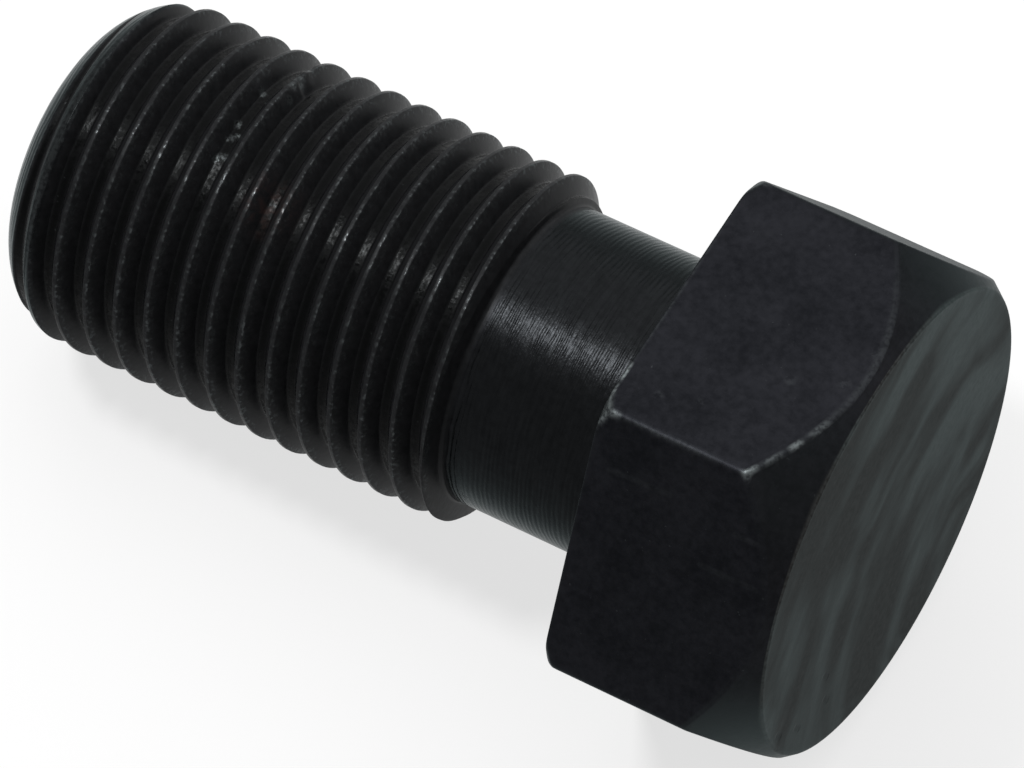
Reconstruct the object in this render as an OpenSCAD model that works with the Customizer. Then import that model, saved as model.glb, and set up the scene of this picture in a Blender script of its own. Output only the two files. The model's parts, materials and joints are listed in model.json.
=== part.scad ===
// Blackened steel bolt of a fuel filter: a hexagon head, a turned neck and a fine right-hand thread,
// all one piece. Sizes are in millimetres. The bolt lies at rest on one flat of its head and on the
// first full thread crest, with its tip towards -X and its head towards +X.

/* [Head] */
// Width of the hexagon across its flats
hex_af = 21.6; // [20:0.1:26]
// Width of the hexagon across its worn corners
hex_corner_d = 24.8; // [24.2:0.1:24.9]
// Height of the head, from its bearing face to its end face
head_h = 9.3; // [7:0.1:14]
// Diameter of the flat end face inside the chamfer
face_d = 20.9; // [18:0.1:21.4]
// Slope of the chamfer, measured from the end face
chamfer_angle = 53; // [30:1:55]
// Height of the small break on the corners at the bearing face
corner_break = 0.3; // [0.1:0.05:1]

/* [Neck] */
// Length of the plain neck, from the bearing face to the start of the thread's run-out
neck_l = 8.2; // [5:0.1:12]
// How far the neck lies below the roots of the thread
neck_relief = 0.35; // [0.1:0.01:0.8]
// Radius of the round between the neck and the bearing face
head_round = 1.2; // [0.4:0.1:2]
// Slope of the run-out cone, measured from the bolt's axis
runout_angle = 80; // [30:1:80]
// Radius of the round between the neck and the run-out cone
runout_round = 0.2; // [0.1:0.1:0.8]

/* [Thread] */
// Diameter over the thread crests
thread_d = 15.6; // [14:0.1:19]
// Distance from one crest to the next
thread_pitch = 1.5; // [1.25:0.05:2]
// Angle between the two flanks of the groove
thread_angle = 60; // [55:1:60]
// Width of the flat on a crest
crest_w = 0.18; // [0.15:0.01:0.4]
// Width of the flat at a root
root_w = 0.46; // [0.15:0.01:0.5]
// Flat facets that make up one turn of the groove
turn_facets = 36; // [24:4:40]

/* [Tip] */
// Length of the shank, from the bearing face to the end of the tip
shank_l = 30; // [24:0.5:44]
// Diameter of the flat end of the tip
tip_d = 11.5; // [9:0.1:13]
// Length of the crowned lead-in at the tip
tip_l = 2.5; // [1.5:0.1:4]
// Radius of the lead-in's crown
crown_r = 3.6; // [3.5:0.1:8]

/* [Hidden] */
$fn = 96;

// Thread section
flank_slope = tan(thread_angle / 2);
thread_depth = (thread_pitch - crest_w - root_w) / 2 / flank_slope;
crest_r = thread_d / 2;
root_r = crest_r - thread_depth;
// The cutter stands this far out of the crests, so that its own turns stay apart
cutter_proud = crest_w / 2;
cutter_r = crest_r + cutter_proud;
cutter_half_w = root_w / 2 + (cutter_r - root_r) * flank_slope;
cutter_section = [
    [root_r, -root_w / 2],
    [cutter_r, -cutter_half_w],
    [cutter_r, cutter_half_w],
    [root_r, root_w / 2],
];

// Shank, measured along the bolt's own axis from the bearing face
neck_r = root_r - neck_relief;
tip_r = tip_d / 2;
lead_in_z = tip_l - shank_l;
runout_l = (crest_r - neck_r) / tan(runout_angle);

// Thread path: a crest meets the lead-in on the side that the bolt lies on
lead_turns = ceil(tip_l / thread_pitch) + 1;
path_start_z = lead_in_z + thread_pitch / 2 - lead_turns * thread_pitch;
path_end_z = thread_pitch - neck_l;
path_steps = ceil((path_end_z - path_start_z) / thread_pitch * turn_facets);

// Head
hex_r = hex_af / 2;
corner_r = hex_corner_d / 2;
face_r = face_d / 2;
chamfer_l = (corner_r - face_r) * tan(chamfer_angle);

// Pose at rest: the bearing face's lower edge and the start of the lead-in touch the ground
rest_tilt = atan((hex_r - crest_r) / -lead_in_z);
rest_min_x = -shank_l * cos(rest_tilt) - tip_r * sin(rest_tilt);
rest_max_x = head_h * cos(rest_tilt) + face_r * sin(rest_tilt);
rest_shift = [-(rest_min_x + rest_max_x) / 2, 0, hex_r * cos(rest_tilt)];

// Fills the hollow between two walls that leave a corner at the angles from and to
module hollow_round(corner, from, to, r) {
    half = (to - from) / 2;
    reach = r / tan(half);
    middle = from + half;
    translate(corner) difference() {
        polygon([[0, 0], reach * [cos(from), sin(from)], reach * [cos(to), sin(to)]]);
        translate(r / sin(half) * [cos(middle), sin(middle)]) circle(r);
    }
}

// Lead-in in section: a straight taper to the tip's flat end, with a crown swung over it
module lead_in_section() {
    end = [tip_r, -shank_l];
    start = [crest_r, lead_in_z];
    chord = start - end;
    swing_r = max(crown_r, norm(chord) / 2);
    inward = [-chord.y, chord.x] / norm(chord);
    centre = (start + end) / 2 + inward * sqrt(max(0, pow(swing_r, 2) - pow(norm(chord) / 2, 2)));
    polygon([[0, -shank_l], end, start, [0, lead_in_z]]);
    intersection() {
        translate([0, -shank_l]) square([crest_r, tip_l]);
        translate(centre) circle(swing_r);
    }
}

// Half section of the turned shank before the thread is cut
module shank_section() {
    runout_start = [neck_r, -neck_l];
    polygon([
        [0, 0],
        [neck_r, 0],
        runout_start,
        [crest_r, -neck_l - runout_l],
        [crest_r, lead_in_z],
        [0, lead_in_z],
    ]);
    lead_in_section();
    hollow_round([neck_r, 0], -90, 0, head_round);
    hollow_round(runout_start, -90 + runout_angle, 90, runout_round);
}

// Right-hand helix of the groove section, from beyond the tip to the air around the neck
module thread_cutter() {
    corners = len(cutter_section);
    points = [
        for (i = [0:path_steps])
            let (turn = 360 * i / turn_facets, z = path_start_z + thread_pitch * i / turn_facets)
                for (p = cutter_section) [p.x * cos(turn), p.x * sin(turn), z + p.y]
    ];
    sides = [
        for (i = [0:path_steps - 1], j = [0:corners - 1])
            let (a = i * corners + j, b = i * corners + (j + 1) % corners)
                each [[a, b, a + corners], [b, b + corners, a + corners]]
    ];
    first_end = [for (j = [corners - 1:-1:0]) j];
    last_end = [for (j = [0:corners - 1]) path_steps * corners + j];
    polyhedron(points = points, faces = concat(sides, [first_end, last_end]), convexity = 20);
}

module shank() {
    difference() {
        rotate_extrude() shank_section();
        thread_cutter();
    }
}

// Hexagon bar, turned down to its corners' width and chamfered at both ends
module head() {
    intersection() {
        rotate(30) cylinder(r = hex_r / cos(30), h = head_h, $fn = 6);
        rotate_extrude() polygon([
            [0, 0],
            [corner_r - corner_break, 0],
            [corner_r, corner_break],
            [corner_r, head_h - chamfer_l],
            [face_r, head_h],
            [0, head_h],
        ]);
    }
}

// Lays the upright bolt down: its axis rises from the tip to the head by the rest tilt
module at_rest() {
    translate(rest_shift) rotate([0, 90 - rest_tilt, 0]) children();
}

module bolt() {
    color("#2a2c2e") at_rest() {
        head();
        shank();
    }
}

bolt();
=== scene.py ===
"""A blackened fuel filter bolt lying on a white table, seen from above its head end."""

import json
import math

import bpy
import numpy as np
from bpy.props import FloatProperty, FloatVectorProperty, IntProperty, PointerProperty
from mathutils import Matrix, Vector


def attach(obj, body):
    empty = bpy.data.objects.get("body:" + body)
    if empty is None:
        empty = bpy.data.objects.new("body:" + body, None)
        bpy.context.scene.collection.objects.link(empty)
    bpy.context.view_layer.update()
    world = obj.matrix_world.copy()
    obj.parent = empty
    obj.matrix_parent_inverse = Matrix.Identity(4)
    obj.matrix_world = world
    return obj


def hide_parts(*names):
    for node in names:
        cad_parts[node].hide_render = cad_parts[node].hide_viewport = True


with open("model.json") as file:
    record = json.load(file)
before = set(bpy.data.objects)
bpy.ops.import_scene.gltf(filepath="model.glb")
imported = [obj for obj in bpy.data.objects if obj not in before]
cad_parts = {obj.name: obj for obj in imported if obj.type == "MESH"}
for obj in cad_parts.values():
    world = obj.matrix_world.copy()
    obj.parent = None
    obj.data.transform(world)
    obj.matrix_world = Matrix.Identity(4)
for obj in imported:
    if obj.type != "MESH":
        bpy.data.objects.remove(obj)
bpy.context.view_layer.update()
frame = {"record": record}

bl_info = {
    "name": "Fuel Filter Bolt",
    "version": (1, 0, 0),
    "blender": (4, 5, 0),
    "location": "View3D > Sidebar > Filter Bolt",
    "description": "Turns, threads and blackens a hexagon-head bolt and sets up its studio",
    "category": "Object",
}

MM = 0.001
MOUNTS = {mount["name"]: mount for mount in frame["record"]["mounts"]}
# Centre of the bearing face and the bolt's direction from its tip to its head
SEAT = Vector(MOUNTS["bearing_face"]["pos_m"])
ALONG = -Vector(MOUNTS["bearing_face"]["axis"]).normalized()
# Turn about Y that lays an upright bolt down
LAY_ANGLE = math.pi / 2 - math.asin(ALONG.z)


class BoltSizes(bpy.types.PropertyGroup):
    """Sizes of the bolt, measured along and across its own axis from the bearing face."""

    hex_flats: FloatProperty(
        name="Across Flats", description="Width of the hexagon across its flats",
        default=21.6 * MM, precision=5, unit="LENGTH")
    corner_round: FloatProperty(
        name="Corner Round", description="Radius of the worn corners of the hexagon",
        default=0.46 * MM, precision=5, unit="LENGTH")
    corner_break: FloatProperty(
        name="Corner Break", description="How far the corners are rounded off at the bearing face",
        default=0.42 * MM, precision=5, unit="LENGTH")
    head_height: FloatProperty(
        name="Head Height", description="From the bearing face to the end face",
        default=9.3 * MM, precision=5, unit="LENGTH")
    face_width: FloatProperty(
        name="Face Diameter", description="Diameter of the flat end face inside the chamfer",
        default=20.9 * MM, precision=5, unit="LENGTH")
    chamfer_angle: FloatProperty(
        name="Chamfer Angle", description="Slope of the chamfer, measured from the end face",
        default=math.radians(53), unit="ROTATION")
    neck_length: FloatProperty(
        name="Neck Length", description="From the bearing face to the foot of the thread's run-out",
        default=8.2 * MM, precision=5, unit="LENGTH")
    neck_relief: FloatProperty(
        name="Neck Relief", description="How far the neck lies below the thread roots",
        default=0.35 * MM, precision=5, unit="LENGTH")
    head_round: FloatProperty(
        name="Head Round", description="Radius between the neck and the bearing face",
        default=1.2 * MM, precision=5, unit="LENGTH")
    runout_angle: FloatProperty(
        name="Run-Out Angle", description="Slope of the run-out, measured from the bolt's axis",
        default=math.radians(80), unit="ROTATION")
    runout_round: FloatProperty(
        name="Run-Out Round", description="Radius between the neck and the run-out",
        default=0.2 * MM, precision=5, unit="LENGTH")
    thread_radius: FloatProperty(
        name="Thread Radius", description="Radius over the thread crests",
        default=MOUNTS["thread"]["dims"]["r_mm"] * MM, precision=5, unit="LENGTH")
    pitch: FloatProperty(
        name="Pitch", description="Distance from one crest to the next",
        default=1.5 * MM, precision=5, unit="LENGTH")
    crest_width: FloatProperty(
        name="Crest Width", description="Width of the flat on a crest",
        default=0.18 * MM, precision=5, unit="LENGTH")
    root_width: FloatProperty(
        name="Root Width", description="Width at the bottom of the groove, before it is rounded",
        default=0.46 * MM, precision=5, unit="LENGTH")
    shank_length: FloatProperty(
        name="Shank Length", description="From the bearing face to the end of the tip",
        default=30 * MM, precision=5, unit="LENGTH")
    tip_radius: FloatProperty(
        name="Tip Radius", description="Radius of the flat end of the tip",
        default=5.75 * MM, precision=5, unit="LENGTH")
    tip_length: FloatProperty(
        name="Tip Length", description="Length of the crowned lead-in",
        default=2.5 * MM, precision=5, unit="LENGTH")
    crown_radius: FloatProperty(
        name="Crown Radius", description="Radius of the lead-in's crown",
        default=3.6 * MM, precision=5, unit="LENGTH")
    edge_round: FloatProperty(
        name="Edge Round", description="How far the worn edges of the head are rounded back",
        default=0.11 * MM, precision=5, unit="LENGTH")
    thread_round: FloatProperty(
        name="Thread Round", description="Softness of the crest and root edges",
        default=0.035 * MM, precision=5, unit="LENGTH")
    sector_columns: IntProperty(
        name="Columns", description="Columns of the mesh across each flat of the hexagon",
        default=36)


class SteelFinish(bpy.types.PropertyGroup):
    """Colours and wear of the blackened steel."""

    oxide_dark: FloatVectorProperty(
        name="Dark Oxide", description="Darkest tone of the blackened skin",
        subtype="COLOR", size=3, default=(0.0049, 0.0052, 0.0063))
    oxide_light: FloatVectorProperty(
        name="Light Oxide", description="Lightest tone of the blackened skin",
        subtype="COLOR", size=3, default=(0.0115, 0.0119, 0.0142))
    turned: FloatVectorProperty(
        name="Turned Steel", description="Tone of the blackened turned surfaces",
        subtype="COLOR", size=3, default=(0.0071, 0.0076, 0.0082))
    threaded: FloatVectorProperty(
        name="Threaded Steel", description="Tone of the blackened thread",
        subtype="COLOR", size=3, default=(0.0112, 0.0115, 0.0124))
    faced_dark: FloatVectorProperty(
        name="Dark Smears", description="Darker smears on the end face",
        subtype="COLOR", size=3, default=(0.0128, 0.0122, 0.0117))
    faced_light: FloatVectorProperty(
        name="Light Smears", description="Lighter smears on the end face",
        subtype="COLOR", size=3, default=(0.0226, 0.0292, 0.0292))
    worn: FloatVectorProperty(
        name="Worn Steel", description="Bare metal where edges are rubbed",
        subtype="COLOR", size=3, default=(0.205, 0.230, 0.233))
    rust: FloatVectorProperty(
        name="Rust", description="Faint brown stain in the thread",
        subtype="COLOR", size=3, default=(0.030, 0.012, 0.009))
    grazing: FloatVectorProperty(
        name="Grazing Tint", description="How much the skin brightens where it is seen at a slant",
        subtype="COLOR", size=3, default=(0.640, 0.672, 0.675))
    edge_wear: FloatProperty(
        name="Edge Wear", description="Share of bare metal along every edge and crest",
        default=0.0175, subtype="FACTOR")


class StudioSettings(bpy.types.PropertyGroup):
    """Camera, lamp and table."""

    azimuth: FloatProperty(
        name="Azimuth", description="Camera's direction round the bolt",
        default=math.radians(28.718), unit="ROTATION")
    elevation: FloatProperty(
        name="Elevation", description="Camera's height above the table",
        default=math.radians(61.033), unit="ROTATION")
    roll: FloatProperty(
        name="Roll", description="Camera's turn about its own line of sight",
        default=math.radians(2.061), unit="ROTATION")
    distance: FloatProperty(
        name="Distance", description="From the camera to the point it aims at",
        default=327.1 * MM, unit="LENGTH")
    aim: FloatVectorProperty(
        name="Aim", description="Point at the middle of the picture",
        subtype="TRANSLATION", size=3, default=(2.684 * MM, -2.304 * MM, 11.573 * MM))
    lens: FloatProperty(
        name="Lens", description="Focal length on a sensor 36 mm wide", default=277.8)
    lamp_power: FloatProperty(
        name="Lamp Power", description="Power of the lamp over the bolt", default=1.48, unit="POWER")
    lamp_size: FloatProperty(
        name="Lamp Size", description="Width of the soft lamp", default=100 * MM, unit="LENGTH")
    lamp_offset: FloatVectorProperty(
        name="Lamp Place", description="From the bearing face to the lamp",
        subtype="TRANSLATION", size=3, default=(-0.215, -0.055, 0.450))
    panel_power: FloatProperty(
        name="Panel Power", description="Power of the large soft panel behind the bolt",
        default=3.2, unit="POWER")
    panel_size: FloatProperty(
        name="Panel Size", description="Width of the soft panel", default=1000 * MM, unit="LENGTH")
    panel_offset: FloatVectorProperty(
        name="Panel Place", description="From the bearing face to the panel",
        subtype="TRANSLATION", size=3, default=(0.0, 0.330, 0.440))
    sky: FloatProperty(
        name="Sky", description="Strength of the soft light from all round", default=0.30)
    table: FloatVectorProperty(
        name="Table", description="Colour of the table", subtype="COLOR", size=3,
        default=(0.86, 0.86, 0.86))
    table_glow: FloatProperty(
        name="Table Glow", description="Share of plain white in the table as the camera sees it",
        default=0.7, subtype="FACTOR")


# Shape of the bolt

def soft_min(a, b, blend):
    """The lower of two surfaces; within blend of each other they meet in a parabola, so the edge is round."""
    near = np.maximum(blend - np.abs(a - b), 0) / blend
    return np.minimum(a, b) - near ** 2 * blend / 4


def wrapped(angle):
    """An angle brought to the range from minus half a turn to half a turn."""
    return (angle + math.pi) % (2 * math.pi) - math.pi


def hexagon_radius(angle, size):
    """Outline of the rounded hexagon in polar form.

    On a flat, radius = apothem / cos(angle from its normal). Near a corner it is the far crossing of the ray
    with the corner's circle: m cos d + sqrt(rho^2 - m^2 sin^2 d), where m is the distance from the axis to
    the circle's middle and d the angle from the corner.
    """
    apothem, rho = size.hex_flats / 2, size.corner_round
    from_normal = (angle + math.pi / 6) % (math.pi / 3) - math.pi / 6
    from_corner = math.pi / 6 - np.abs(from_normal)
    middle = (apothem - rho) / math.cos(math.pi / 6)
    meets = math.pi / 6 - math.atan(middle / 2 / apothem)
    flat = apothem / np.cos(from_normal)
    beside = middle * np.sin(from_corner)
    arc = middle * np.cos(from_corner) + np.sqrt(np.maximum(rho ** 2 - beside ** 2, 0))
    return np.where(from_corner < meets, arc, flat)


# Slope of the thread's flanks, measured from square to the axis
FLANK_ANGLE = math.pi / 6
# How far the rounds of the groove's corners reach, as a share of the root's width
ROOT_ROUND = 0.12


def root_radius(size):
    """Radius at the bottom of the groove, by the slope of its flanks."""
    flank_width = (size.pitch - size.crest_width - size.root_width) / 2
    return size.thread_radius - flank_width / math.tan(FLANK_ANGLE)


def groove_radius(from_crest, size):
    """Radius of the thread groove by the distance along the axis from the nearest crest.

    Straight flanks and a flat root. The corners between them are arcs that touch both: with cut as the
    distance from the corner to where they touch, their radius is cut / tan 30 degrees, and they reach half
    of cut along the axis past the corner.
    """
    beside = np.abs(from_crest) - size.crest_width / 2
    flank = size.thread_radius - beside / math.tan(FLANK_ANGLE)
    cut = ROOT_ROUND * size.root_width
    rho = cut / math.tan(FLANK_ANGLE)
    past_flat = size.pitch / 2 - np.abs(from_crest) - (size.root_width / 2 - cut)
    arc = root_radius(size) + rho - np.sqrt(np.maximum(rho ** 2 - np.maximum(past_flat, 0) ** 2, 0))
    return np.where(past_flat < 1.5 * cut, arc, flank)


def shank_radius(z, size):
    """Turned profile of the shank before the thread is cut, by the distance along the axis.

    From the tip: an arc through the tip's edge and the first crest, the crest cylinder, the run-out cone,
    an arc that rounds the cone into the neck, and the neck.
    """
    crest, neck = size.thread_radius, root_radius(size) - size.neck_relief
    tip = np.array([size.tip_radius, -size.shank_length])
    lead = np.array([crest, size.tip_length - size.shank_length])
    chord = lead - tip
    half = np.linalg.norm(chord) / 2
    inward = np.array([-chord[1], chord[0]]) / (2 * half)
    centre = (tip + lead) / 2 + inward * math.sqrt(size.crown_radius ** 2 - half ** 2)
    crown = centre[0] + np.sqrt(np.maximum(size.crown_radius ** 2 - (z - centre[1]) ** 2, 0))
    cone = neck - (z + size.neck_length) * math.tan(size.runout_angle)
    half_angle = (math.pi - size.runout_angle) / 2
    arc_z = -size.neck_length + size.runout_round / math.tan(half_angle)
    arc = neck + size.runout_round - np.sqrt(np.maximum(size.runout_round ** 2 - (z - arc_z) ** 2, 0))
    cone_end = arc_z - size.runout_round * math.sin(size.runout_angle)
    radius = np.where(z < cone_end, np.minimum(cone, crest), np.where(z < arc_z, arc, neck))
    return np.where(z < lead[1], np.minimum(crown, crest), radius)


# Nicks in the thread: turn about the axis in degrees, radius, place along the axis, width and depth in
# millimetres; a burr has a negative depth
NICKS = (
    (158.4, 7.15, -21.87, 0.24, -0.07), (162.0, 7.17, -21.28, 0.16, -0.05),
    (158.3, 7.41, -20.53, 0.26, 0.08), (175.4, 7.08, -21.76, 0.20, -0.06),
    (181.7, 7.05, -21.64, 0.20, -0.05), (179.6, 7.05, -21.39, 0.18, -0.06),
    (190.0, 7.05, -21.66, 0.20, -0.05), (188.4, 7.05, -21.43, 0.24, -0.07),
    (140.5, 7.80, -20.96, 0.30, 0.12), (148.8, 7.80, -20.79, 0.30, 0.14),
    (149.1, 7.47, -20.60, 0.24, 0.08), (153.5, 7.77, -20.76, 0.26, 0.12),
)
# How far the bare metal of a nick reaches, in widths of the nick
NICK_REACH = 1.3


def nick_depth(angle, z, radius):
    """Sum of small bell-shaped dents, each a Gaussian of the distance over the surface from its middle."""
    depth = np.zeros_like(z)
    for turn, _, place, width, deep in NICKS:
        across = wrapped(angle - math.radians(turn)) * radius
        apart = (across ** 2 + (z - place * MM) ** 2) / (width * MM) ** 2
        depth += deep * MM * np.exp(-apart)
    return depth


def nick_places():
    """Middle and reach of each nick in the bolt's own frame, in millimetres."""
    for turn, radius, place, width, _ in NICKS:
        angle = math.radians(turn)
        yield (radius * math.cos(angle), radius * math.sin(angle), place), NICK_REACH * width


# How strongly the mesh columns crowd towards the hexagon's corners, from 0 for not at all
CROWDING = 0.9


def column_angles(size):
    """Turns about the axis, crowded towards the hexagon's corners.

    In each sixth of a turn, s = t - crowding sin(2 pi t) / (2 pi).
    """
    t = np.arange(6 * size.sector_columns + 1) / size.sector_columns
    return math.pi / 6 + math.pi / 3 * (t - CROWDING * np.sin(2 * math.pi * t) / (2 * math.pi))


# Places of the mesh rows across one thread, as shares of the pitch from the crest
THREAD_ROWS = np.array([
    -0.5, -0.44, -0.40, -0.37, -0.34, -0.30, -0.20, -0.09, -0.074, -0.06, -0.046,
    0.0, 0.046, 0.06, 0.074, 0.09, 0.20, 0.30, 0.34, 0.37, 0.40, 0.44])
# Plain rings over the run-out: how far they reach below and above its foot, and how many there are
RINGS_BELOW, RINGS_ABOVE, RING_COUNT = 0.6 * MM, 0.5 * MM, 56
# Rubbed line on the thread: its place on the head's side of a crest and its half width
RUBBED_LINE, RUBBED_HALF = 0.09 * MM, 0.095 * MM
# Half width of the line along the root of the thread, where the material paints shade and streaks shine
ROOT_HALF = 0.25 * MM
# How far the marks take to fade below a crest, at the groove's rim and at the lead-in
CREST_FADE, RIM_FADE, TIP_FADE = 0.2 * MM, 0.1 * MM, 0.08 * MM
# How far from the run-out's foot the neck's finish starts, and how far it takes to fade in
NECK_START, NECK_FADE = 0.16 * MM, 0.30 * MM


def thread_rows(angles, size):
    """Rows of the threaded shank: z = crest + pitch (turns + angle / 2 pi) + offset, from tip to run-out.

    The rows follow the helix, so each crest is one smooth line, and plain rings follow over the run-out.
    The radius is the lower of the turned profile and the groove, with the edge between them softened.
    A crest meets the lead-in on the bolt's lower side.
    """
    low = -size.shank_length
    rings = -size.neck_length - RINGS_BELOW
    high = RINGS_ABOVE - size.neck_length
    first_crest = size.tip_length - size.shank_length
    first_turn = math.floor((low - first_crest) / size.pitch) - 2
    turns = np.arange(first_turn, math.ceil((rings - first_crest) / size.pitch) + 1)
    offsets = (turns[:, None] + THREAD_ROWS[None, :]).ravel()
    helical = first_crest + size.pitch * (offsets[:, None] + angles[None, :] / (2 * math.pi))
    straight = np.linspace(rings, high, RING_COUNT)[1:, None] + 0 * angles[None, :]
    z = np.concatenate([np.clip(helical, low, rings), straight])
    angle = np.broadcast_to(angles, z.shape)
    along = (z - first_crest) / size.pitch - angle / (2 * math.pi)
    from_crest = (along - np.round(along)) * size.pitch
    turned, groove = shank_radius(z, size), groove_radius(from_crest, size)
    radius = soft_min(turned, groove, size.thread_round) - nick_depth(angle, z, groove)

    near_crest = np.clip((radius - size.thread_radius) / CREST_FADE + 2, 0, 1)
    crest_line = np.exp(-((from_crest - RUBBED_LINE) / RUBBED_HALF) ** 2) * near_crest
    # Line along the roots, where the material darkens the colour as painted shade
    root_line = np.exp(-((size.pitch / 2 - np.abs(from_crest)) / ROOT_HALF) ** 4)
    in_groove = np.clip((turned - groove) / RIM_FADE, 0, 1)
    on_tip = np.clip((groove - turned) / TIP_FADE + 0.5, 0, 1) * (z < first_crest)
    on_neck = np.clip((z + size.neck_length - NECK_START) / NECK_FADE, 0, 1)
    on_thread = 1 - np.maximum(on_tip, on_neck)
    return z, radius, {
        "edges": np.maximum(crest_line, on_tip),
        "turned": 1 - on_thread,
        "faced": 0 * z,
        "threaded": on_thread,
        "roots": root_line * on_thread * in_groove,
    }


def corner_rows(before, corner, after, cut, steps):
    """Rows that round a corner of the section: a quadratic curve from cut before it to cut after it."""
    def towards(target):
        step = [target[0] - corner[0], target[1] - corner[1]]
        length = np.hypot(*step)
        return [corner[0] + cut * step[0] / length, corner[1] + cut * step[1] / length]
    start, end = towards(before), towards(after)
    s = np.linspace(0, 1, steps)[:, None]
    return [
        (1 - s) ** 2 * a[None] + 2 * s * (1 - s) * b[None] + s ** 2 * c[None]
        for a, b, c in zip(start, corner, end)]


def between(start, end, shares):
    """Rows at the given shares of the straight way from one ring to another."""
    s = np.asarray(shares)[:, None]
    return [(1 - s) * a[None] + s * b[None] for a, b in zip(start, end)]


def ring(rows, index):
    """One ring of some rows."""
    return [rows[0][index], rows[1][index]]


# Places of the mesh rows on the head, as shares of the way over each surface
NECK_SHARES = np.linspace(0, 1, 7)[1:-1]
SEAT_SHARES = (0.1, 0.35, 0.65, 0.9, 0.97)
FLAT_SHARES = (0.012, 0.026, 0.042, 0.06, 0.09, 0.2, 0.4, 0.6, 0.8, 0.94, 0.98)
CHAMFER_SHARES = (0.06, 0.2, 0.4, 0.6, 0.8, 0.94)
FACE_SHARES = (0.015, 0.04, 0.12, 0.25, 0.4, 0.55, 0.7, 0.85, 0.95, 1.0)
# Rows in the fillet under the head, in each edge of the flats and in the rim of the end face
FILLET_STEPS, EDGE_STEPS, RIM_STEPS = 9, 6, 5
# Round of the end face's rim, as a share of the other edges' round
RIM_ROUND = 0.7
# Softness of the broken corners, and the depth of the break at which they count as rubbed
BREAK_BLEND, BREAK_RUBBED = 0.2 * MM, 0.12 * MM
# Half width of the rubbed line on a corner of the hexagon
CORNER_HALF = 0.13 * MM
# Least height over the bearing face, and greatest depth inside the flats, of the sides' own marks
SIDE_START, SIDE_DEPTH = 0.02 * MM, 0.3 * MM


def head_rows(angles, size):
    """Rows of the neck and head as (radius, z) rings, each a function of the angle.

    The section runs along the neck, round the fillet, over the bearing face to the hexagon's outline
    R(angle), up the flat to the chamfer cone z = height - (R - face radius) tan(chamfer), and over the cone
    and the end face. The corners are broken at the bearing face by a cone of 45 degrees.
    """
    one = np.ones_like(angles)
    neck = root_radius(size) - size.neck_relief
    outline = hexagon_radius(angles, size)
    face = size.face_width / 2
    fillet = np.linspace(0, math.pi / 2, FILLET_STEPS)[:, None]
    fillet_r = neck + size.head_round * (1 - np.cos(fillet)) * one
    fillet_z = -size.head_round * (1 - np.sin(fillet)) * one
    neck_start = [neck * one, (RINGS_ABOVE - size.neck_length) * one]
    neck_end = [neck * one, -size.head_round * one]
    seat = [(neck + size.head_round) * one, 0 * one]
    lower = [outline, 0 * one]
    upper = [outline, size.head_height - (outline - face) * math.tan(size.chamfer_angle)]
    rim = [face * one, size.head_height * one]
    middle = [0 * one, size.head_height * one]
    lower_edge = corner_rows(seat, lower, upper, size.edge_round, EDGE_STEPS)
    upper_edge = corner_rows(lower, upper, rim, size.edge_round, EDGE_STEPS)
    rim_edge = corner_rows(upper, rim, middle, RIM_ROUND * size.edge_round, RIM_STEPS)
    # Each surface with its marks: how much it is an edge, turned and faced
    parts = [
        (between(neck_start, neck_end, NECK_SHARES), 0.0, 1.0, 0.0),
        ([fillet_r, fillet_z], 0.0, 1.0, 0.0),
        (between(seat, ring(lower_edge, 0), SEAT_SHARES), 0.0, 0.6, 0.0),
        (lower_edge, 1.0, 0.1, 0.0),
        (between(ring(lower_edge, -1), ring(upper_edge, 0), FLAT_SHARES), 0.0, 0.0, 0.0),
        (upper_edge, 1.0, 0.1, 0.0),
        (between(ring(upper_edge, -1), ring(rim_edge, 0), CHAMFER_SHARES), 0.0, 0.2, 0.1),
        (rim_edge, 1.0, 0.4, 1.0),
        (between(ring(rim_edge, -1), middle, FACE_SHARES), 0.0, 0.5, 1.0),
    ]
    whole = np.concatenate([rows[0] for rows, *_ in parts])
    z = np.concatenate([rows[1] for rows, *_ in parts])
    cone = outline.max() - size.corner_break + np.maximum(z, 0)
    r = np.where(z < 0, whole, soft_min(whole, cone, BREAK_BLEND))

    tags = np.concatenate([np.tile(marks, (len(rows[0]), 1)) for rows, *marks in parts])
    edges, turned, faced = (np.repeat(tags[:, i:i + 1], len(angles), axis=1) for i in range(3))
    cut_back = np.clip((whole - r) / BREAK_RUBBED, 0, 1) * (z > SIDE_START)
    # The rubbed corners of the hexagon, by the distance round the outline from the nearest corner
    from_corner = math.pi / 6 - np.abs((angles + math.pi / 6) % (math.pi / 3) - math.pi / 6)
    corner = np.exp(-(from_corner * outline / CORNER_HALF) ** 2)[None]
    on_side = (z > SIDE_START) & (r > size.hex_flats / 2 - SIDE_DEPTH) & (faced < 0.1)
    return z, r, {
        "edges": np.maximum(np.maximum(edges, corner * on_side), cut_back),
        "turned": turned,
        "faced": faced,
        "threaded": 0 * z,
        "roots": 0 * z,
    }


# Places of the mesh rows on the tip's flat end, as shares of its radius, and how much it is turned
TIP_SHARES = np.array([0, 0.15, 0.4, 0.7, 0.93, 0.985])
TIP_TURNED = 0.8
# Points nearer to each other than about this, in metres, become one
WELD = 1e-8


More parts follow.
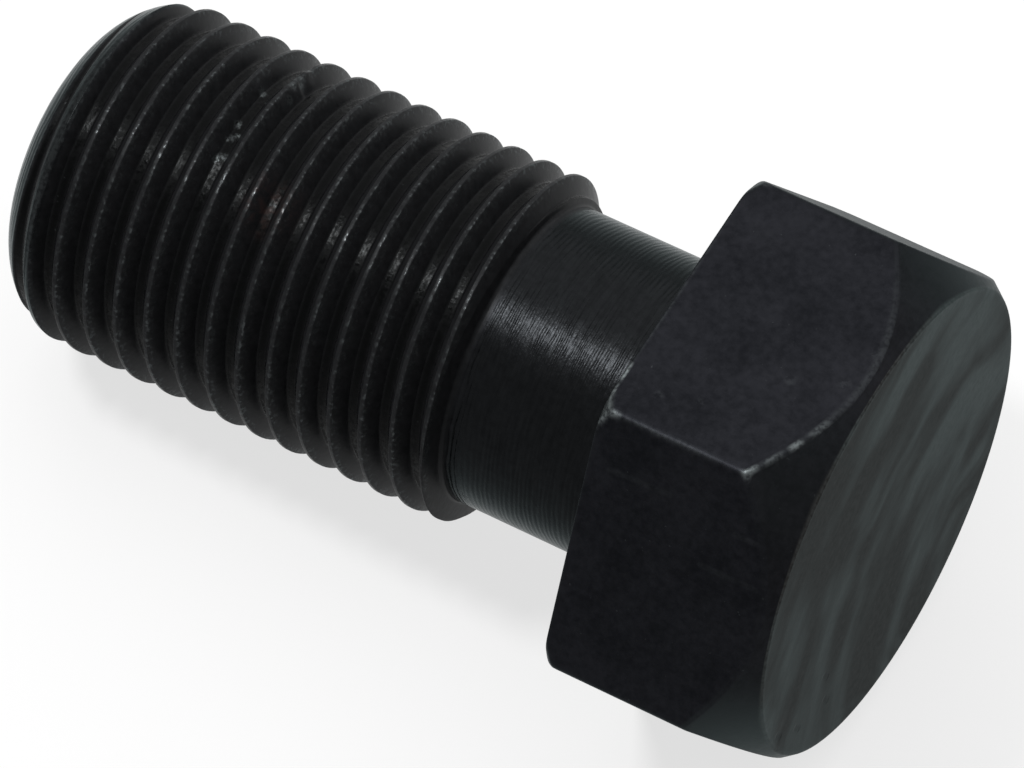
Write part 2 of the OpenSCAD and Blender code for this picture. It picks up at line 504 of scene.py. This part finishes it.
def bolt_mesh(size):
    """The whole bolt as one closed surface: rings of (angle, radius, z) from the tip's centre to the head's.

    Rings that coincide, at the seam, at both poles and at the ends of the thread, are welded into one.
    """
    angles = column_angles(size)
    tip_r = TIP_SHARES[:, None] * size.tip_radius * np.ones_like(angles)
    tip_z = np.full(tip_r.shape, -size.shank_length)
    body_z, body_r, body_marks = thread_rows(angles, size)
    head_z, head_r, head_marks = head_rows(angles, size)
    tip_marks = {name: np.full(tip_z.shape, TIP_TURNED if name == "turned" else 0.0) for name in body_marks}
    z = np.concatenate([tip_z, body_z, head_z])
    r = np.concatenate([tip_r, body_r, head_r])
    marks = {
        name: np.concatenate([tip_marks[name], body_marks[name], head_marks[name]])
        for name in body_marks}
    local = np.stack([r * np.cos(angles), r * np.sin(angles), z], axis=-1).reshape(-1, 3)
    side = Vector((0, 1, 0))
    basis = np.array([side.cross(ALONG), side, ALONG])
    points = local @ basis + np.array(SEAT)

    rows, columns = z.shape
    at = np.arange(rows * columns).reshape(rows, columns)
    a, b, c, d = at[:-1, :-1], at[:-1, 1:], at[1:, 1:], at[1:, :-1]
    halves = [np.stack(half, -1).reshape(-1, 3) for half in ((a, b, c), (a, c, d))]
    _, kept, welded = np.unique(
        np.round(local / WELD).astype(np.int64), axis=0, return_index=True, return_inverse=True)
    faces = welded.reshape(-1)[np.concatenate(halves)]
    first, second, third = faces.T
    whole = (first != second) & (second != third) & (third != first)
    return points[kept], faces[whole], {name: values.reshape(-1)[kept] for name, values in marks.items()}


def area_normals(points, faces):
    """Vertex normals as sums of face normals weighted by area, so that flats stay flat up to their edges."""
    corners = points[faces]
    cross = np.cross(corners[:, 1] - corners[:, 0], corners[:, 2] - corners[:, 0])
    normals = np.zeros_like(points)
    for corner in range(3):
        np.add.at(normals, faces[:, corner], cross)
    return normals / np.maximum(np.linalg.norm(normals, axis=1, keepdims=True), 1e-20)


# Materials

class Wire:
    """A value in a node tree. Sums, differences and products of wires add Math nodes to the tree."""

    def __init__(self, tree, socket=None):
        self.tree, self.socket = tree, socket

    def node(self, kind, settings, values, output):
        """Adds a node of any kind: its settings first, then the values or wires of its sockets."""
        made = self.tree.nodes.new(kind)
        for name, value in settings.items():
            setattr(made, name, value)
        for name, value in values.items():
            socket = made.inputs[name]
            if isinstance(value, Wire):
                self.tree.links.new(value.socket, socket)
            elif socket.type == "RGBA":
                socket.default_value = (*value[:3], 1)
            else:
                socket.default_value = value
        return Wire(self.tree, made.outputs[output]) if output is not None else made

    def math(self, operation, *values):
        return self.node("ShaderNodeMath", {"operation": operation}, dict(enumerate(values)), 0)

    def __add__(self, other):
        return self.math("ADD", self, other)

    def __sub__(self, other):
        return self.math("SUBTRACT", self, other)

    def __rsub__(self, other):
        return self.math("SUBTRACT", other, self)

    def __mul__(self, other):
        return self.math("MULTIPLY", self, other)

    __radd__, __rmul__ = __add__, __mul__

    def clamped(self):
        return self.node("ShaderNodeClamp", {}, {"Value": self}, 0)

    def steps(self, low, high):
        """0 below low, 1 above high and smooth between."""
        return self.node("ShaderNodeMapRange", {"interpolation_type": "SMOOTHSTEP"},
                         {"Value": self, "From Min": low, "From Max": high}, 0)

    def tints(self, first, second):
        """The first colour where this is 0 and the second where it is 1."""
        return self.node("ShaderNodeMix", {"data_type": "RGBA"}, {0: self, 6: first, 7: second}, 2)


def noise(place, scale, detail=3.0, roughness=0.55, output="Fac"):
    return place.node("ShaderNodeTexNoise", {}, {
        "Vector": place, "Scale": scale, "Detail": detail, "Roughness": roughness}, output)


def stretched(place, factors):
    return place.node("ShaderNodeVectorMath", {"operation": "MULTIPLY"}, {0: place, 1: factors}, 0)


# Places on the bolt in its own frame, in millimetres from the middle of the bearing face
# Rubbed edges: place, reach and share of bare metal
RUBBED = (
    ((-10.8, -6.0, 6.8), 0.55, 0.34), ((-10.8, -5.1, 7.3), 0.8, 0.11), ((-10.8, -4.1, 7.8), 0.5, 0.28),
    ((-10.8, -3.0, 8.3), 0.9, 0.12), ((-10.8, 0.6, 8.8), 6.0, 0.03), ((-10.74, -6.2, 3.0), 3.8, 0.035),
    ((-10.45, -6.0, 0.2), 1.0, 0.60), ((-10.8, -5.5, 0.0), 0.8, 0.50), ((-10.8, -4.3, 0.0), 0.7, 0.55),
    ((-10.8, 0.0, 0.0), 6.0, 0.03), ((0.0, 12.4, 6.7), 1.2, 0.25), ((10.74, 6.2, 6.7), 0.9, 0.20),
    ((10.74, -6.2, 0.2), 0.9, 0.25), ((-10.74, 6.2, 0.2), 0.8, 0.20),
)
# Share of bare metal on the nicks, scuffs and scratches
NICK_TONE, SCUFF_TONE, SCRATCH_TONE = 0.22, 0.03, 0.024
# Light scuffs on the top flat: place and reach
SCUFFS = (
    ((-10.8, -1.55, 6.1), 0.35), ((-10.8, -0.7, 8.1), 0.40), ((-10.8, 1.1, 8.5), 0.30),
    ((-10.8, 3.7, 7.9), 0.25), ((-10.8, -4.1, 3.4), 0.25), ((-10.8, -4.6, 1.8), 0.30),
)
# Fine scratches on the front flat, from end to end
SCRATCHES = (
    ((-8.64, -7.48, 1.04), (-8.74, -7.42, 3.79)),
    ((-8.37, -7.64, 6.88), (-8.40, -7.62, 7.93)),
    ((-6.63, -8.64, 5.74), (-6.65, -8.63, 8.27)),
)
# Painted light and shade on the end face and chamfer: place, reach and how much lighter or darker
LIT_AND_SHADED_PATCHES = (((-6.5, -4.5, 9.3), 5.5, -0.34), ((-5.0, 7.0, 9.3), 5.0, 0.13), ((2.5, -4.0, 9.3), 3.0, -0.09))
# Painted light on parts of the chamfer: place, reach and strength
LIT_CHAMFER = (((3.0, -11.2, 8.4), 6.5, 1.0), ((-6.5, 9.0, 8.6), 7.0, 0.40), ((-9.8, -5.4, 8.0), 4.0, 0.10))
# Small dark pits in the end face, from end to end
PITS = (
    ((4.18, -5.56, 9.3), (3.79, -5.76, 9.3)),
    ((5.86, -5.71, 9.3), (5.47, -5.90, 9.3)),
    ((4.69, -8.00, 9.3), (4.29, -8.20, 9.3)),
    ((3.19, -9.39, 9.3), (2.80, -9.59, 9.3)),
)
# Faint brown stains: place and reach
RUST_SPOTS = (((-7.3, -2.4, -18.4), 1.9), ((2.43, -9.30, 9.3), 0.6))
# Middle of the sweeping tool marks on the end face
TOOL_CENTRE = (11.0, 7.0)
# Half widths of a scratch and of a pit
SCRATCH_REACH, PIT_REACH = 0.20, 0.24
# Height of the skin's relief, in metres
RELIEF = 0.02 * MM


def near(place, point, reach):
    """1 at a point, fading to 0 at the reach."""
    away = place.node("ShaderNodeVectorMath", {"operation": "DISTANCE"}, {0: place, 1: point}, "Value")
    return 1 - away.steps(0.15 * reach, reach)


def near_line(place, start, end, reach):
    """1 on the straight line between two points, fading to 0 at the reach from its nearest point."""
    start, line = Vector(start), Vector(end) - Vector(start)
    from_start = place.node("ShaderNodeVectorMath", {"operation": "SUBTRACT"}, {0: place, 1: start}, 0)
    share = place.node("ShaderNodeVectorMath", {"operation": "DOT_PRODUCT"},
                       {0: from_start, 1: line / line.length_squared}, "Value").clamped()
    nearest = place.node("ShaderNodeVectorMath", {"operation": "SCALE"}, {0: line, "Scale": share}, 0)
    away = place.node("ShaderNodeVectorMath", {"operation": "DISTANCE"}, {0: from_start, 1: nearest}, "Value")
    return 1 - away.steps(0.3 * reach, reach)


def highest(wires):
    """The highest of several wires."""
    top, *others = wires
    for wire in others:
        top = top.math("MAXIMUM", top, wire)
    return top


def shades(colour, share):
    """A colour made darker and lighter by a share."""
    return [(1 - share) * v for v in colour], [(1 + share) * v for v in colour]


def blackened_steel(finish):
    """Oxide-blackened steel: mottled skin, turning lines, smears on the end face and rubbed edges."""
    material = bpy.data.materials.new("blackened_steel")
    material.use_nodes = True
    tree = material.node_tree
    tree.nodes.clear()
    begin = Wire(tree)
    on_object = begin.node("ShaderNodeTexCoord", {}, {}, "Object")
    place = begin.node("ShaderNodeMapping", {"vector_type": "TEXTURE"}, {
        "Vector": on_object, "Location": SEAT, "Rotation": (0, LAY_ANGLE, 0), "Scale": (MM, MM, MM)}, 0)
    edges, turned, faced, threaded, roots = (
        begin.node("ShaderNodeAttribute", {"attribute_name": name}, {}, "Fac")
        for name in ("edges", "turned", "faced", "threaded", "roots"))

    # Patterns, at scales in millimetres: the skin's grain, rings left by turning and sweeps on the end face
    grain = noise(place, 2.8, 5.0, 0.68)
    blotches = noise(place, 0.30, 3.0)
    specks = noise(place, 5.2, 2.0, 0.5)
    turning = noise(stretched(place, (0.55, 0.55, 6.0)), 1.0, 3.0, 0.65)
    x_y_z = begin.node("ShaderNodeSeparateXYZ", {}, {"Vector": place}, None)
    x, y, z = (Wire(tree, socket) for socket in x_y_z.outputs)
    wander = noise(stretched(place, (0.3, 0.3, 1.2)), 1.0, 2.0)
    feed = begin.math("SINE", z * 27.0 + wander * 13.0)
    from_x, from_y = x - TOOL_CENTRE[0], y - TOOL_CENTRE[1]
    from_tool = begin.math("SQRT", from_x * from_x + from_y * from_y)
    sweep = begin.node("ShaderNodeCombineXYZ", {}, {"X": from_tool * 0.38, "Y": x * 0.10, "Z": y * 0.10}, 0)
    swirled = sweep.node("ShaderNodeVectorMath", {"operation": "ADD"}, {
        0: sweep, 1: noise(place, 0.17, 1.0, 0.5) * 1.7}, 0)
    smears = noise(swirled, 1.0, 2.0, 0.5)
    tool_lines = noise(sweep, 9.0, 3.0, 0.6)

    # Skin colour: mottled head, plain thread and neck, end face smears; painted shade in roots, painted light
    # and shade on face and chamfer
    mottled = (grain * 0.7 + blotches * 0.6 - 0.15).steps(0.22, 0.78)
    skin = mottled.tints(finish.oxide_dark, finish.oxide_light)
    skin = threaded.tints(skin, grain.steps(0.2, 0.8).tints(*shades(finish.threaded, 0.3)))
    # Painted shade: the thread's roots are darkened nearly to black
    skin = (roots * 0.85).tints(skin, (0, 0, 0))
    turned_grain = (turning * 0.5 + grain * 0.5).steps(0.3, 0.7)
    skin = turned.tints(skin, turned_grain.tints(*shades(finish.turned, 0.22)))
    shade = smears * 1.15 + tool_lines * 0.08 + grain * 0.24 - 0.220
    # Painted light and shade: patches that lighten or darken the end face's smears
    for spot, reach, lift in LIT_AND_SHADED_PATCHES:
        shade = shade + near(place, spot, reach) * lift
    smears_and_painted_light = shade.steps(0.30, 0.70)
    skin = faced.tints(skin, smears_and_painted_light.tints(finish.faced_dark, finish.faced_light))
    # Painted light: parts of the chamfer lightened towards the colour of the light smears
    pale = highest(near(place, spot, reach) * share for spot, reach, share in LIT_CHAMFER)
    skin = (pale * (turned * (1 - faced) * 5).clamped() * 0.8).tints(skin, finish.faced_light)
    rusty = highest(near(place, spot, reach) for spot, reach in RUST_SPOTS)
    skin = (rusty * grain.steps(0.4, 0.7) * 0.4).tints(skin, finish.rust)
    pitted = highest(near_line(place, *ends, PIT_REACH) for ends in PITS)
    skin = (pitted * 0.5).tints(skin, [0.2 * v for v in finish.oxide_dark])

    # Bare metal: rubbed edges and crests, nicks, scuffs, scratches and fine specks
    broken = specks.steps(0.32, 0.60) * 0.75 + 0.25
    glints = edges * threaded * specks.steps(0.52, 0.66)
    spots = highest(near(place, spot, reach) * share for spot, reach, share in RUBBED)
    worn = (threaded + turned * 3.5 + faced * 2.5) * finish.edge_wear
    rubbed = edges * (spots + worn) * broken + glints * 0.13
    ragged = place.node("ShaderNodeVectorMath", {"operation": "MULTIPLY_ADD"}, {
        0: noise(place, 5.0, 2.0, 0.6, "Color"), 1: (0.5, 0.5, 0.5), 2: place}, 0)
    ragged = place.node("ShaderNodeVectorMath", {"operation": "SUBTRACT"}, {
        0: ragged, 1: (0.25, 0.25, 0.25)}, 0)
    nicked = highest(near(ragged, spot, reach) for spot, reach in nick_places()) * broken * NICK_TONE
    scuffed = highest(near(place, spot, reach) for spot, reach in SCUFFS)
    scuffed = scuffed * grain.steps(0.42, 0.62) * SCUFF_TONE
    scratched = highest(near_line(place, *ends, SCRATCH_REACH) for ends in SCRATCHES)
    scratched = scratched * grain * SCRATCH_TONE
    dusted = specks.steps(0.72, 0.78) * (1 - faced) * (1 - turned) * 0.05
    bare = highest((rubbed, nicked, scuffed, scratched, dusted))
    colour = bare.tints(skin, finish.worn)

    # Sheen and relief: the thread is less metallic than the rest, and streaks along its roots shine
    sparkles = roots * (specks * 0.55 + turning * 0.45).steps(0.42, 0.58)
    metal = (1 - threaded * 0.9 + bare * 4).clamped()
    rough = 0.44 + (grain - 0.5) * 0.20 - turned * 0.14 + faced * 0.10 - threaded * 0.10
    rough = rough - bare * 0.2 - glints * 0.14 + roots * 0.05 - sparkles * 0.24
    rough = rough - (turned - faced).clamped() * 0.04 + faced * (0.5 - smears_and_painted_light) * 0.10
    lines = ((turning - 0.5) * 0.8 + feed * specks * 0.88) * turned * (1 - faced)
    height = (grain - 0.5) * (1 - turned + threaded * 0.8) * 0.5 + lines
    height = height + (tool_lines - 0.5) * faced * 0.4 - pitted
    height = height + (specks - 0.5) * roots * 0.8
    bump = begin.node("ShaderNodeBump", {}, {
        "Height": height, "Strength": 0.5, "Distance": RELIEF}, 0)
    surface = begin.node("ShaderNodeBsdfPrincipled", {}, {
        "Base Color": colour, "Metallic": metal, "Roughness": rough, "Specular IOR Level": 0.04,
        "Specular Tint": finish.grazing, "Normal": bump}, 0)
    begin.node("ShaderNodeOutputMaterial", {}, {"Surface": surface}, None)
    return material


def seen_directly(begin):
    """1 for rays from the camera and for mirrored and refracted ones, 0 for soft light."""
    path = begin.node("ShaderNodeLightPath", {}, {}, None)
    kinds = ("Is Camera Ray", "Is Glossy Ray", "Is Transmission Ray")
    return highest(Wire(begin.tree, path.outputs[kind]) for kind in kinds)


def white_table(studio):
    """Matt pale table that keeps the bolt's shadow and otherwise looks white."""
    material = bpy.data.materials.new("white_table")
    material.use_nodes = True
    tree = material.node_tree
    tree.nodes.clear()
    begin = Wire(tree)
    matt = begin.node("ShaderNodeBsdfDiffuse", {}, {"Color": studio.table}, 0)
    glow = begin.node("ShaderNodeEmission", {}, {"Color": (1, 1, 1), "Strength": 1.0}, 0)
    share = seen_directly(begin) * studio.table_glow
    surface = begin.node("ShaderNodeMixShader", {}, {0: share, 1: matt, 2: glow}, 0)
    begin.node("ShaderNodeOutputMaterial", {}, {"Surface": surface}, None)
    return material


# Operators

# Half width of the table, and its top, a hair under the bolt
TABLE_HALF, TABLE_TOP = 2.0, -0.01 * MM


class FILTERBOLT_OT_turn(bpy.types.Operator):
    """Make the bolt with its hexagon head, neck and thread, and blacken it"""

    bl_idname = "filter_bolt.turn"
    bl_label = "Turn Bolt"

    def execute(self, context):
        points, faces, marks = bolt_mesh(context.scene.bolt_sizes)
        mesh = bpy.data.meshes.new("threaded_bolt")
        mesh.from_pydata(points.tolist(), [], faces.tolist())
        if mesh.validate():
            raise RuntimeError("the bolt's surface has faulty faces")
        for name, values in marks.items():
            mesh.attributes.new(name, "FLOAT", "POINT").data.foreach_set("value", values.astype(np.float32))
        mesh.polygons.foreach_set("use_smooth", np.ones(len(faces), bool))
        mesh.normals_split_custom_set_from_vertices(area_normals(points, faces).tolist())
        mesh.materials.append(blackened_steel(context.scene.steel_finish))
        bolt = bpy.data.objects.new("threaded_bolt", mesh)
        context.scene.collection.objects.link(bolt)
        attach(bolt, "root")
        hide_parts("bolt")
        return {"FINISHED"}


class FILTERBOLT_OT_stage(bpy.types.Operator):
    """Lay the white table and set the camera, the lamp and the soft light round the bolt"""

    bl_idname = "filter_bolt.stage"
    bl_label = "Set Stage"

    def execute(self, context):
        studio = context.scene.bolt_studio
        mesh = bpy.data.meshes.new("table")
        corners = ((-1, -1), (1, -1), (1, 1), (-1, 1))
        points = [(x * TABLE_HALF, y * TABLE_HALF, TABLE_TOP) for x, y in corners]
        mesh.from_pydata(points, [], [(0, 1, 2, 3)])
        mesh.materials.append(white_table(studio))
        table = bpy.data.objects.new("table", mesh)
        context.scene.collection.objects.link(table)

        for name, offset, width, power in (
            ("lamp", studio.lamp_offset, studio.lamp_size, studio.lamp_power),
            ("panel", studio.panel_offset, studio.panel_size, studio.panel_power),
        ):
            light = bpy.data.lights.new(name, "AREA")
            light.shape, light.size, light.energy = "DISK", width, power
            lamp = bpy.data.objects.new(name, light)
            lamp.location = SEAT + Vector(offset)
            lamp.rotation_euler = Vector(offset).to_track_quat("Z", "Y").to_euler()
            context.scene.collection.objects.link(lamp)

        world = bpy.data.worlds.new("soft_light")
        world.use_nodes = True
        world.node_tree.nodes.clear()
        begin = Wire(world.node_tree)
        sky = begin.node("ShaderNodeBackground", {}, {"Color": (1, 1, 1), "Strength": studio.sky}, 0)
        white = begin.node("ShaderNodeBackground", {}, {"Color": (1, 1, 1), "Strength": 1.0}, 0)
        both = begin.node("ShaderNodeMixShader", {}, {0: seen_directly(begin), 1: sky, 2: white}, 0)
        begin.node("ShaderNodeOutputWorld", {}, {"Surface": both}, None)
        context.scene.world = world

        camera = bpy.data.cameras.new("camera")
        camera.sensor_width, camera.sensor_fit, camera.lens = 36, "HORIZONTAL", studio.lens
        camera = bpy.data.objects.new("camera", camera)
        a, e = studio.azimuth, studio.elevation
        back = Vector((math.sin(a) * math.cos(e), -math.cos(a) * math.cos(e), math.sin(e)))
        turn = back.to_track_quat("Z", "Y").to_matrix().to_4x4() @ Matrix.Rotation(studio.roll, 4, "Z")
        camera.matrix_world = Matrix.Translation(Vector(studio.aim) + back * studio.distance) @ turn
        context.scene.collection.objects.link(camera)
        context.scene.camera = camera
        context.scene.view_settings.view_transform = "Standard"
        return {"FINISHED"}


class FILTERBOLT_PT_sidebar(bpy.types.Panel):
    """Sizes, finish and studio of the bolt, with the operators that make them"""

    bl_label = "Filter Bolt"
    bl_idname = "FILTERBOLT_PT_sidebar"
    bl_space_type = "VIEW_3D"
    bl_region_type = "UI"
    bl_category = "Filter Bolt"

    def draw(self, context):
        for settings, operator in (
            (context.scene.bolt_sizes, FILTERBOLT_OT_turn),
            (context.scene.steel_finish, None),
            (context.scene.bolt_studio, FILTERBOLT_OT_stage),
        ):
            box = self.layout.box()
            for name in settings.__annotations__:
                box.prop(settings, name)
            if operator:
                box.operator(operator.bl_idname)


CLASSES = (
    BoltSizes, SteelFinish, StudioSettings,
    FILTERBOLT_OT_turn, FILTERBOLT_OT_stage, FILTERBOLT_PT_sidebar)


def register():
    for cls in CLASSES:
        bpy.utils.register_class(cls)
    bpy.types.Scene.bolt_sizes = PointerProperty(type=BoltSizes)
    bpy.types.Scene.steel_finish = PointerProperty(type=SteelFinish)
    bpy.types.Scene.bolt_studio = PointerProperty(type=StudioSettings)


def unregister():
    del bpy.types.Scene.bolt_studio, bpy.types.Scene.steel_finish, bpy.types.Scene.bolt_sizes
    for cls in reversed(CLASSES):
        bpy.utils.unregister_class(cls)


def main():
    register()
    bpy.ops.filter_bolt.turn()
    bpy.ops.filter_bolt.stage()


if __name__ == "__main__":
    main()
